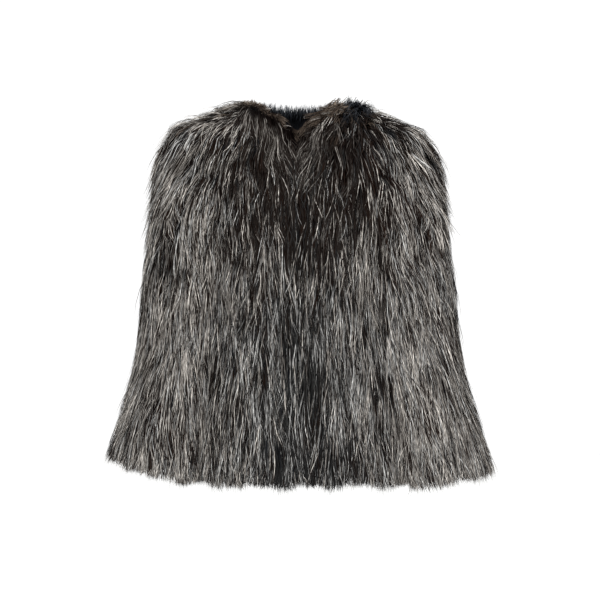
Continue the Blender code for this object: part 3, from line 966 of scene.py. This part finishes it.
PATCHES = [Zone(change, near(x, PATCH_WIDTH), near(z, PATCH_WIDTH)) for x, z, change in (
    (0.032, -0.050, -0.28),
    (-0.028, -0.110, -0.28),
    (-0.105, -0.002, 0.22),
    (-0.205, -0.085, -0.30),
    (-0.262, -0.280, -0.44),
    (0.268, -0.355, -0.22),
    (0.093, -0.355, 0.12),
    (0.153, -0.075, 0.16),
    (0.210, -0.045, -0.30),
    (-0.148, -0.290, 0.16),
    (0.093, -0.500, -0.32),
    (0.032, -0.225, 0.12),
    (0.153, -0.430, 0.20),
    (-0.205, -0.410, 0.14),
)]
RIM_DROPS = (0.15, 0.24, 0.56)
RIM_HALF_WIDTHS = (0.205, 0.198, 0.262)
RIM_EASE = 0.025
# Painted shade on the outer rim of a sleeve, where it rounds away: the pale share drops by this much there,
# and by a smaller share low down
PAINTED_RIM_SHADE = 0.36
LESS_RIM_SHADE_BELOW = 0.7
RIM_BELOW = (-0.33, -0.48)


def turned_away(points):
    """0 to 1 on the outer rim of a sleeve, which lies further out the lower it is. Painted shade and more
    brown wool go there.
    """
    rim = np.interp(-points[..., 2], RIM_DROPS, RIM_HALF_WIDTHS)
    return eased(np.abs(points[..., 0]), rim, rim + RIM_EASE)


def silvered(points):
    """Share of pale locks at a place: more on the sleeves and below, less down the middle of the front and
    across the chest. On the outer rim of a sleeve there are fewer, as painted shade, less so low down."""
    x, y, z = np.moveaxis(points, -1, 0)
    share = PALE + waves(STREAKS, x, z) + zones(SILVER, x, z) + zones(SILVER_IN_FRONT, x, z) * (y < 0)
    share -= PAINTED_RIM_SHADE * turned_away(points) * (1 - LESS_RIM_SHADE_BELOW * eased(z, *RIM_BELOW))
    return np.clip(share + zones(PATCHES, x, z) * (y < PATCHES_BEFORE), *PALE_LIMITS)


print("pale share of a sleeve", silvered(np.array([0.24, -0.10, -0.40])).round(2))

# %% Kinds of hair
BROWN = (Zone(0.16, everywhere, everywhere), Zone(0.60, apart(0.24, 0.14), near(-0.09, 0.11)))
BROWN_RIM = 0.40
BLUE_BLACK = (Zone(0.04, everywhere, everywhere), Zone(0.30, near(0.0, 0.10), past(-0.20, -0.35)))
COOL_GREY = (Zone(0.25, everywhere, everywhere), Zone(0.60, near(0.0, 0.10), past(-0.15, -0.30)))
DARK_TONES = (Zone(0.015, everywhere, everywhere), Zone(0.05, apart(0.15, 0.21), everywhere))
FAINT_TONES = (
    Zone(0.17, apart(0.15, 0.09), near(-0.09, 0.08)),  # chest
    Zone(0.10, near(0.0, 0.07), past(-0.20, -0.30)),  # down the middle
)
NECK_WOOL_TONES = (Zone(0.7, everywhere, near(0.0, 0.03)),)
PALE_TONES = (0.30, 1.0)
PALE_LOCKS = 0.24
MORE_PALE_LOCKS = 0.78
PALE_HAIRS = 0.21
MORE_PALE_HAIRS = 0.81


def tinted(points, silver, rng):
    """Kind and tone of the locks of one layer, and each one's share of pale hairs. Brown wool lies on the
    chest and where a sleeve turns away, blue-black and cool grey hair low down in the middle. Dark locks of
    the silver layer have faint strands on the chest and down the middle."""
    x, _, z = np.moveaxis(points, -1, 0)
    share = silvered(points)
    pale = silver & (rng.random(len(points)) < PALE_LOCKS + MORE_PALE_LOCKS * share)
    draw = rng.random(len(points))
    darkest = zones(DARK_TONES, x, z)
    if silver:
        kind = np.where(draw < zones(COOL_GREY, x, z), COOL, GUARD)
        darkest = darkest + zones(FAINT_TONES, x, z)
    else:
        brown = zones(BROWN, x, z) + BROWN_RIM * turned_away(points)
        kind = np.where(draw < brown, WOOL, np.where(draw > 1 - zones(BLUE_BLACK, x, z), NIGHT, GUARD))
        darkest = darkest + zones(NECK_WOOL_TONES, x, z) * (kind == WOOL)
    pale_tone = rng.uniform(*PALE_TONES, len(points))
    tone = np.where(pale, pale_tone, rng.uniform(0.0, 1.0, len(points)) * darkest)
    return kind, tone, np.where(kind == WOOL, 1.0, PALE_HAIRS + MORE_PALE_HAIRS * share)


print("brown share of the lower hair on the chest", zones(BROWN, 0.0, -0.09).round(2))

# %% [markdown]
# ## Growing the coat
#
# A coat has two layers. The dark one is loose and wide, and slim silver locks lie above it. A furrier trims
# both level a little below the hem and the cuffs. The dark hair ends a little higher, so that silver tips
# make the edge. On top of the shoulders the hair is shorter, and it lies flatter in some places than in
# others. One function grows a layer on any grid, so the same rules hold all over the jacket.

# %% Set of the hair
PILE_KEPT = (
    Zone(1.0, everywhere, everywhere),
    Zone(-0.34, past(0.10, 0.15), near(-0.018, 0.025)),  # top of the left shoulder
    Zone(0.34, past(-0.14, -0.19), near(-0.025, 0.03)),  # top of the right shoulder
    Zone(-0.22, apart(0.17, 0.21), near(-0.125, 0.04)),  # below both
)
STANDING_OFF = (Zone(0.75, apart(0.13, 0.18), near(-0.07, 0.06)),)
TUFT_RATE = 200
TUFT_START = {"left": 0.4, "right": 2.4}
HEM_SHARE = 0.90
HEM_WAVES = (Wave(0.14, 85, 20, 0), Wave(0.09, 190, -30, 1))
LONGER_HEM = 0.14
LONGER = near(0.15, 0.05)


def proud(points):
    """How far tips stand off: in rows of tufts where the hair of a shoulder ends above the sleeve."""
    x, _, z = np.moveaxis(points, -1, 0)
    tufts = 0.5 + 0.5 * np.sin(TUFT_RATE * z + np.where(x > 0, TUFT_START["left"], TUFT_START["right"]))
    return tufts * zones(STANDING_OFF, x, z)


def waved(points):
    """How far the hair hangs below the hem, as a share: in waves along it, longer on the left."""
    x, y, _ = np.moveaxis(points, -1, 0)
    return HEM_SHARE + waves(HEM_WAVES, x, y) + LONGER_HEM * LONGER(x)


print("hem hair varies by", sum(wave.size for wave in HEM_WAVES), "of its length")

# %% Coat
NECK_POINT = {
    "left": np.array([0.086, -0.034, 0.002]),
    "right": np.array([-0.068, -0.030, 0.005]),
    "back": np.array([0.015, 0.010, 0.020]),
}
UNDER_SPACING = 0.0092
OVER_SPACING = 0.0057
COARSENESS = {"front": 1.0, "back": 1.52, "sleeve": 1.04}
HAIR_LENGTH = 0.088
LENGTHS = (0.70, 1.2)
NECK_LENGTH = 0.5
FULL_LENGTH_FROM_NECK = 0.13
SHOULDER_LENGTH = 0.75
BELOW_SHOULDER = (-0.08, -0.20)
SHORTEST = 0.012
HEM_HANG = {"front": 0.028, "back": 0.028, "sleeve_left": 0.029, "sleeve_right": 0.022}
HANGS = (0.86, 1.10)
UNDER_HANG = 0.84
CUFF_CORNER = {"left": 0.012, "right": 0.028}
CORNER = (0.26, 0.29)
TWIST = 0.12
LESS_TWIST_BELOW = 0.03


def lock_lengths(skin, row, column, hang, centre, rng):
    """Lengths of locks: shorter near the neck and on the shoulders, and cut off at hang below the hem or
    cuff, a little lower at the outer corner of a cuff."""
    place = between(skin.points, row, column)
    from_neck = eased(np.linalg.norm(place - centre, axis=-1) / FULL_LENGTH_FROM_NECK)
    length = HAIR_LENGTH * rng.uniform(*LENGTHS, len(row)) * (NECK_LENGTH + (1 - NECK_LENGTH) * from_neck)
    length *= SHOULDER_LENGTH + (1 - SHOULDER_LENGTH) * eased(place[:, 2], *BELOW_SHOULDER)
    left = between(skin.left, row, column) + hang * waved(place) * rng.uniform(*HANGS, len(row))
    corner = np.where(place[:, 0] > 0, CUFF_CORNER["left"], CUFF_CORNER["right"])
    left += corner * eased(np.abs(place[:, 0]), *CORNER)
    return np.minimum(length, np.maximum(left, SHORTEST))


def layer(skin, lock, coarseness, hang, centre, rng):
    """One layer of locks all over a grid. Dark hair hangs a little less far below the hem than silver hair.
    Coarser locks are wider and further apart."""
    silver = lock is OVER_LOCK
    row, column = roots(skin, coarseness * (OVER_SPACING if silver else UNDER_SPACING), rng)
    lock = lock._replace(radius=lock.radius * coarseness, half_width=lock.half_width * coarseness)
    place = between(skin.points, row, column)
    x, _, z = place.T
    length = lock_lengths(skin, row, column, hang * (1.0 if silver else UNDER_HANG), centre, rng)
    twist = waves(SWIRLS, x, z) + rng.normal(0, TWIST - LESS_TWIST_BELOW * eased(z, *BELOW_SHOULDER))
    twist += zones(LEFTWARD, x, z) * between(skin.outward, row, column)[:, 1]
    line = lines(skin, row, column, length, centre, twist)
    kept = zones(PILE_KEPT, line.points[..., 0], line.points[..., 2])
    line = line._replace(pile=line.pile * kept * (1 + proud(place)[:, None] * ALONG**2))
    kind, tone, pale_share = tinted(place, silver, rng)
    return hairs(line, length, tone, kind, lock, rng, pale_share)


def both_layers(skin, coarseness, hang, centre, rng):
    """Dark locks all over one grid, and silver ones above them."""
    return [layer(skin, lock, coarseness, hang, centre, rng) for lock in (UNDER_LOCK, OVER_LOCK)]


def coat(skin, kind, side, rng):
    """The coat of one grid, combed from its neck point."""
    mirror = (1 if side == "left" else -1, 1, 1)
    centre = NECK_POINT["back"] * mirror if kind == "back" else NECK_POINT[side]
    hang = HEM_HANG.get(kind, HEM_HANG["sleeve_" + side])
    return both_layers(skin, COARSENESS[kind], hang, centre, rng)


print("hair up to", round(HAIR_LENGTH * LENGTHS[1], 3), "m long")

# %% [markdown]
# ## Hair between sleeve and body
#
# Where a sleeve hangs beside the body, the pile of both meets and hides the groove between them. That hair
# has no skin right under it. So it is grown on a surface stretched from the pile of the front to the pile
# of the sleeve, level by level.

# %% Hair across the groove
GROOVE_LEVELS = 60
GROOVE_TOP = -0.085
GROOVE_EASE = 0.07
GROOVE_COLUMNS = 13
GROOVE_PILE = 0.008
GROOVE_DEPTH = 0.1
MORE_GROOVE_DEPTH = 0.6
GROOVE_BULGE = 0.006
PANEL_LINE = 27
SLEEVE_LINE = 23


def pile_line(skin, column, levels):
    """Points in the pile along one column of a grid, at the given heights: near the skin at the top, where
    the hair above covers them, and near the pile's face from a little lower down."""
    down = eased(skin.points[:, column, 2], GROOVE_TOP, GROOVE_TOP - GROOVE_EASE)
    depth = (GROOVE_DEPTH + MORE_GROOVE_DEPTH * down) * skin.pile[:, column]
    face = (skin.points[:, column] + depth[:, None] * skin.outward[:, column])[:skin.rows]
    return np.stack([np.interp(-levels, -face[:, 2], face[:, i]) for i in (0, 1)] + [levels], axis=-1)


def groove_grid(front, sleeve):
    """Ruled surface between two lines of pile, bulging a little forwards."""
    levels = np.linspace(GROOVE_TOP, sleeve.points[sleeve.rows - 1, SLEEVE_LINE, 2], GROOVE_LEVELS)
    t = np.linspace(0, 1, GROOVE_COLUMNS)[None, :, None]
    points = (pile_line(front, PANEL_LINE, levels)[:, None] * (1 - t)
              + pile_line(sleeve, SLEEVE_LINE, levels)[:, None] * t)
    points[..., 1] -= GROOVE_BULGE * np.sin(math.pi * t[..., 0])
    facing = 1 if sleeve.points[0, 0, 0] > 0 else -1
    return laid_out(points, facing, np.full(points.shape[:2], GROOVE_PILE), GROOVE_COLUMNS)


GROOVES = {side: groove_grid(SKINS["front_" + side][0], SKINS["sleeve_" + side][0])
           for side in ("left", "right")}


def across_groove(side, rng):
    """Both layers of hair on the groove's surface."""
    return both_layers(GROOVES[side], 1.0, HEM_HANG["sleeve_" + side], NECK_POINT[side], rng)


print("grooves:", [skin.points.shape[:2] for skin in GROOVES.values()])

# %% [markdown]
# ## Hair round the neck
#
# The pelt is turned in at the neck, so its hair stands up there and then falls over the fronts. That raised
# edge makes the round neckline look like a V. Thin rolls of brown wool and some loose strands lie along it,
# and single strands cross the opening. At the two neck points the hair stands in mounds, and on the left
# one blue-black hair leaves in a whorl. Behind, blue-black bristles stand up, and dark hair falls inside.
# Most of these are rows of small tables, so that one short function can grow all of a kind.

# %% Neck edge
NECK_ROWS = UPPER_ROWS * NECK_SHARE
EDGE_RISE = 0.009
CORNER_RISE = 0.019
EDGE_UP = 0.95
EDGE_INWARD = 0.30
LIFT_POWER = 1.5

NeckSpot = namedtuple("NeckSpot", "place outward inward along")


def neck_spots(skin, share):
    """Spots along half a neckline at shares of the way to the middle: place, outward, inward over the edge,
    and along towards the middle."""
    row, column = share * NECK_ROWS, np.zeros(len(share))
    return NeckSpot(between(skin.points, row, column), unit(between(skin.outward, row, column)),
                    -unit(between(skin.by_column, row, column)), unit(between(skin.by_row, row, column)))


def raised(spot, share):
    """How far the hair's edge stands above the neckline: most half way from the neck point to the middle."""
    rise = EDGE_RISE + CORNER_RISE * np.sin(math.pi * share)
    return rise[:, None] * (EDGE_UP * UP + EDGE_INWARD * spot.inward)


def lifted(line, rise):
    """Lines whose roots are raised: by rise times (1 - s) to a power on the way to the tip."""
    return line._replace(points=line.points + rise[:, None] * ((1 - ALONG) ** LIFT_POWER)[:, None])


def straight(place, way, outward, length, droop=0.0):
    """Middle lines of nearly straight hair: place plus way times length, sagging by droop to the tip."""
    way = unit(way)
    points = place[:, None] + way[:, None] * length[:, None, None] * ALONG[None, :, None]
    points[..., 2] -= droop * ALONG**2
    same = (len(place), STEPS + 1, 3)
    side = unit(np.cross(way, outward))
    along, outward, side = (np.broadcast_to(part[:, None], same) for part in (way, outward, side))
    return Line(points, along, outward, side, np.zeros(same[:2]))


print("the neck's edge stands up to", round(EDGE_RISE + CORNER_RISE, 3), "m above the pelt")

# %% Falling from the edge
DRAPE_UNDER = UNDER_LOCK._replace(lift=(0.4, 0.9))
DRAPE_OVER = OVER_LOCK._replace(lift=(0.7, 1.1))

Drape = namedtuple("Drape", "first tones count lock")
DRAPES = {
    "left": (Drape(0.30, (0.0, 0.05), 60, DRAPE_UNDER), Drape(0.35, (0.05, 0.45), 70, DRAPE_OVER)),
    "right": (Drape(0.15, (0.0, 0.05), 80, DRAPE_UNDER), Drape(0.00, (0.05, 0.6), 110, DRAPE_OVER)),
}


def draped(skin, side, drape, rng, lean=0.5, tangle=0.15, columns=1.5, lengths=(0.036, 0.062),
           rises=(0.6, 1.08), pale_share=0.6):
    """Hair that falls from the raised edge over a front, combed like the coat and leaning to the middle."""
    count = drape.count
    tone = rng.uniform(*drape.tones, count)
    share = rng.uniform(drape.first, 1.0, count)
    row, column = share * NECK_ROWS, rng.uniform(0.0, columns, count)
    length = rng.uniform(*lengths, count)
    twist = lean * share * (1 if side == "left" else -1) + rng.normal(0, tangle, count)
    line = lines(skin, row, column, length, NECK_POINT[side], twist)
    rise = raised(neck_spots(skin, share), share) * rng.uniform(*rises, (count, 1))
    return hairs(lifted(line, rise), length, tone, GUARD, drape.lock, rng, pale_share)


print("falling locks:", {side: sum(row.count for row in rows) for side, rows in DRAPES.items()})

# %% Along the edge
WOOL_ROLL = LOOSE_LOCK._replace(radius=0.0045, half_width=0.00034)
FULL_ROLL = LOOSE_LOCK._replace(radius=0.0065, half_width=0.00036)
SOFT_ROLL = LOOSE_LOCK._replace(radius=0.0100)

Roll = namedtuple("Roll", "span lower tones count kind lock reach")
ROLLS = {
    "left": (
        Roll((0.40, 0.90), 0.000, (0.1, 0.5), 44, WOOL, FULL_ROLL, 0.022),
        Roll((0.00, 0.40), 0.000, (0.8, 1.0), 60, WOOL, SOFT_ROLL, 0.026),
        Roll((0.20, 0.75), 0.006, (0.2, 0.6), 50, WOOL, SOFT_ROLL, 0.030),
        Roll((0.00, 0.55), 0.010, (0.4, 0.9), 22, GUARD, STRAND_LOCK, 0.050),
    ),
    "right": (
        Roll((0.10, 0.92), 0.001, (0.10, 0.45), 44, WOOL, WOOL_ROLL, 0.026),
        Roll((0.25, 0.70), 0.006, (0.40, 0.90), 8, GUARD, STRAND_LOCK, 0.034),
    ),
}


def edge_roll(skin, roll, rng, ahead=0.1, scatter=0.4, tangle=0.25, lengths=(0.6, 1.0)):
    """Hair along the raised edge of one front over a span of shares, lying towards the middle. lower moves
    it down and out by that much."""
    tone = rng.uniform(*roll.tones, roll.count)
    share = rng.uniform(*roll.span, roll.count)
    spot, next_spot = neck_spots(skin, share), neck_spots(skin, share + ahead)
    place = spot.place + raised(spot, share)
    way = unit(next_spot.place + raised(next_spot, share + ahead) - place)
    place = place + rng.normal(0, scatter, place.shape) * roll.lock.radius + roll.lower * (spot.outward - UP)
    length = roll.reach * rng.uniform(*lengths, roll.count)
    line = straight(place, way + rng.normal(0, tangle, way.shape), spot.outward, length)
    return hairs(line, length, tone, roll.kind, roll.lock, rng)


print("locks along the edge:", {side: sum(row.count for row in rows) for side, rows in ROLLS.items()})

# %% Mounds at the neck points
MOUND_LOCK = LOOSE_LOCK._replace(half_width=0.0006)
MOUND_FACING = np.array([0.0, -1.0, 0.3])

Mound = namedtuple("Mound", "middle half_size tones count kind tall")
MOUNDS = {
    "left": Mound((0.016, -0.006, 0.0), (0.015, 0.014, 0.002), (0.0, 0.5), 64, NIGHT, 0.027),
    "right": Mound((-0.016, -0.006, 0.0), (0.038, 0.014, 0.002), (0.5, 1.0), 120, WOOL, 0.026),
}


def mounded(skin, mound, rng, slope=0.25, fan=(0.35, 0.35, 0.0), upright=(0.0, -0.3, 1.0), tangle=0.12,
            lengths=(0.75, 1.0), rounding=0.35, droop=0.003):
    """Soft hair that stands up round a place beside one neck point, highest in its middle."""
    tone = rng.uniform(*mound.tones, mound.count)
    aside = rng.uniform(-1, 1, (mound.count, 3))
    place = skin.points[0, 0] + mound.middle + aside * mound.half_size
    place[:, 2] -= slope * np.abs(place[:, 0] - skin.points[0, 0, 0])
    way = aside * fan + upright + rng.normal(0, tangle, place.shape)
    length = mound.tall * rng.uniform(*lengths, mound.count) * (1 - rounding * aside[:, 0] ** 2)
    line = straight(place, way, np.broadcast_to(MOUND_FACING, place.shape), length, droop)
    return hairs(line, length, tone, mound.kind, MOUND_LOCK, rng)


print("locks in the mounds:", {side: mound.count for side, mound in MOUNDS.items()})

# %% Whorl and loose strands
WHORL_LOCK = LOOSE_LOCK._replace(lift=(0.7, 1.05), half_width=0.00032)
STRAND_FACING = np.array([0.0, -1.0, 0.5])

Strands = namedtuple("Strands", "start end count")
STRANDS = {
    "left": Strands((0.055, -0.048, 0.004), (0.000, -0.078, -0.028), 5),
    "right": Strands((-0.050, -0.042, 0.000), (-0.006, -0.080, -0.036), 1),
}


def whorl(skin, rng, count=24, tones=(0.0, 0.3), rows=7, columns=9, middle=4, lengths=(0.018, 0.034),
          tangle=0.1, rises=(0.004, 0.014)):
    """Blue-black hair that leaves one neck point in all directions, over the coat."""
    tone = rng.uniform(*tones, count)
    row, column = rng.uniform(0, rows, count), rng.uniform(0, columns, count)
    length = rng.uniform(*lengths, count)
    line = lines(skin, row, column, length, skin.points[0, middle], rng.normal(0, tangle, count))
    rise = rng.uniform(*rises, (count, 1)) * UP
    return hairs(lifted(line, rise), length, tone, NIGHT, WHORL_LOCK, rng)


def crossing(strands, rng, tones=(0.1, 0.4), start_spread=(0.008, 0.005, 0.005),
             end_spread=(0.008, 0.004, 0.006), lengths=(0.6, 1.1), droop=0.010):
    """Loose pale strands from one place to another, across the neck opening."""
    count = strands.count
    place = np.array(strands.start) + rng.normal(0, 1, (count, 3)) * start_spread
    way = np.array(strands.end) + rng.normal(0, 1, (count, 3)) * end_spread - place
    length = np.linalg.norm(way, axis=1) * rng.uniform(*lengths, count)
    line = straight(place, way, np.broadcast_to(STRAND_FACING, place.shape), length, droop)
    return hairs(line, length, rng.uniform(*tones, count), GUARD, STRAND_LOCK, rng)


print("crossing locks:", {side: strands.count for side, strands in STRANDS.items()})

# %% Neck of the back
INSIDE_WAY = np.array([0.0, -0.25, -1.0])

Bristles = namedtuple("Bristles", "lengths tones count lock")
BRISTLES = (
    Bristles((0.010, 0.018), (0.0, 0.3), 190, BRISTLE_LOCK._replace(half_width=0.0012)),
    Bristles((0.013, 0.026), (0.5, 1.0), 420, BRISTLE_LOCK._replace(half_width=0.0004)),
)


def bristled(skin, bristles, rng, lean=0.3, tangle=0.22, shortest=0.4, full_share=0.4):
    """Hair that stands on half of the back neckline, shorter towards the neck point."""
    count = bristles.count
    tone = rng.uniform(*bristles.tones, count)
    share = (np.arange(count) + rng.random(count)) / count
    spot = neck_spots(skin, share)
    full = shortest + (1 - shortest) * eased(share / full_share)
    length = rng.uniform(*bristles.lengths, count) * full
    way = UP + lean * (spot.outward + spot.inward) + rng.normal(0, tangle, spot.place.shape)
    return hairs(straight(spot.place, way, spot.along, length), length, tone, NIGHT, bristles.lock, rng)


def inside_neck(skin, rng, count=80, tones=(0.0, 0.12), lengths=(0.035, 0.070), tangle=0.15, shift=0.004):
    """Dark hair that falls from the back neckline on the inside."""
    tone = rng.uniform(*tones, count)
    spot = neck_spots(skin, rng.uniform(0, 1, count))
    length = rng.uniform(*lengths, count)
    way = INSIDE_WAY + rng.normal(0, tangle, spot.place.shape)
    line = straight(spot.place + shift * (spot.inward - spot.outward), way, -spot.outward, length)
    return hairs(line, length, tone, NIGHT, LOOSE_LOCK, rng)


print("locks of bristles on half the back:", sum(row.count for row in BRISTLES))

# %% [markdown]
# ## All the fur
#
# Each piece gets its coat and then what belongs to its own edge: hair across the groove for a sleeve, neck
# hair for a panel. Every piece has its own seed, so a change to one leaves the others as they were.


def neck(skin, kind, side, rng):
    """Neck hair that belongs to one grid of a panel."""
    if kind == "back":
        return [bristled(skin, bristles, rng) for bristles in BRISTLES] + [inside_neck(skin, rng)]
    batches = [draped(skin, side, drape, rng) for drape in DRAPES[side]]
    batches += [edge_roll(skin, roll, rng) for roll in ROLLS[side]]
    if side == "left":
        batches.append(whorl(skin, rng))
    return batches + [mounded(skin, MOUNDS[side], rng), crossing(STRANDS[side], rng)]


for number, (node, halves) in enumerate(SKINS.items()):
    rng = np.random.default_rng(number)
    kind = node.split("_")[0]
    batches = []
    for skin in halves:
        side = "left" if skin.points[0, 1, 0] > 0 else "right"
        batches += coat(skin, kind, side, rng)
        batches += across_groove(side, rng) if kind == "sleeve" else neck(skin, kind, side, rng)
    fur("fur_" + node, batches)
    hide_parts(node)

# %% [markdown]
# ## Cloth sizes and the finish
#
# Each pelt is declared as a sheet with the size it was cut to. Then both boxes, that of the solids and that
# of the finished jacket, are written down side by side.

# %% Sheets
for node, piece in PELTS.items():
    kind = node.split("_")[0]
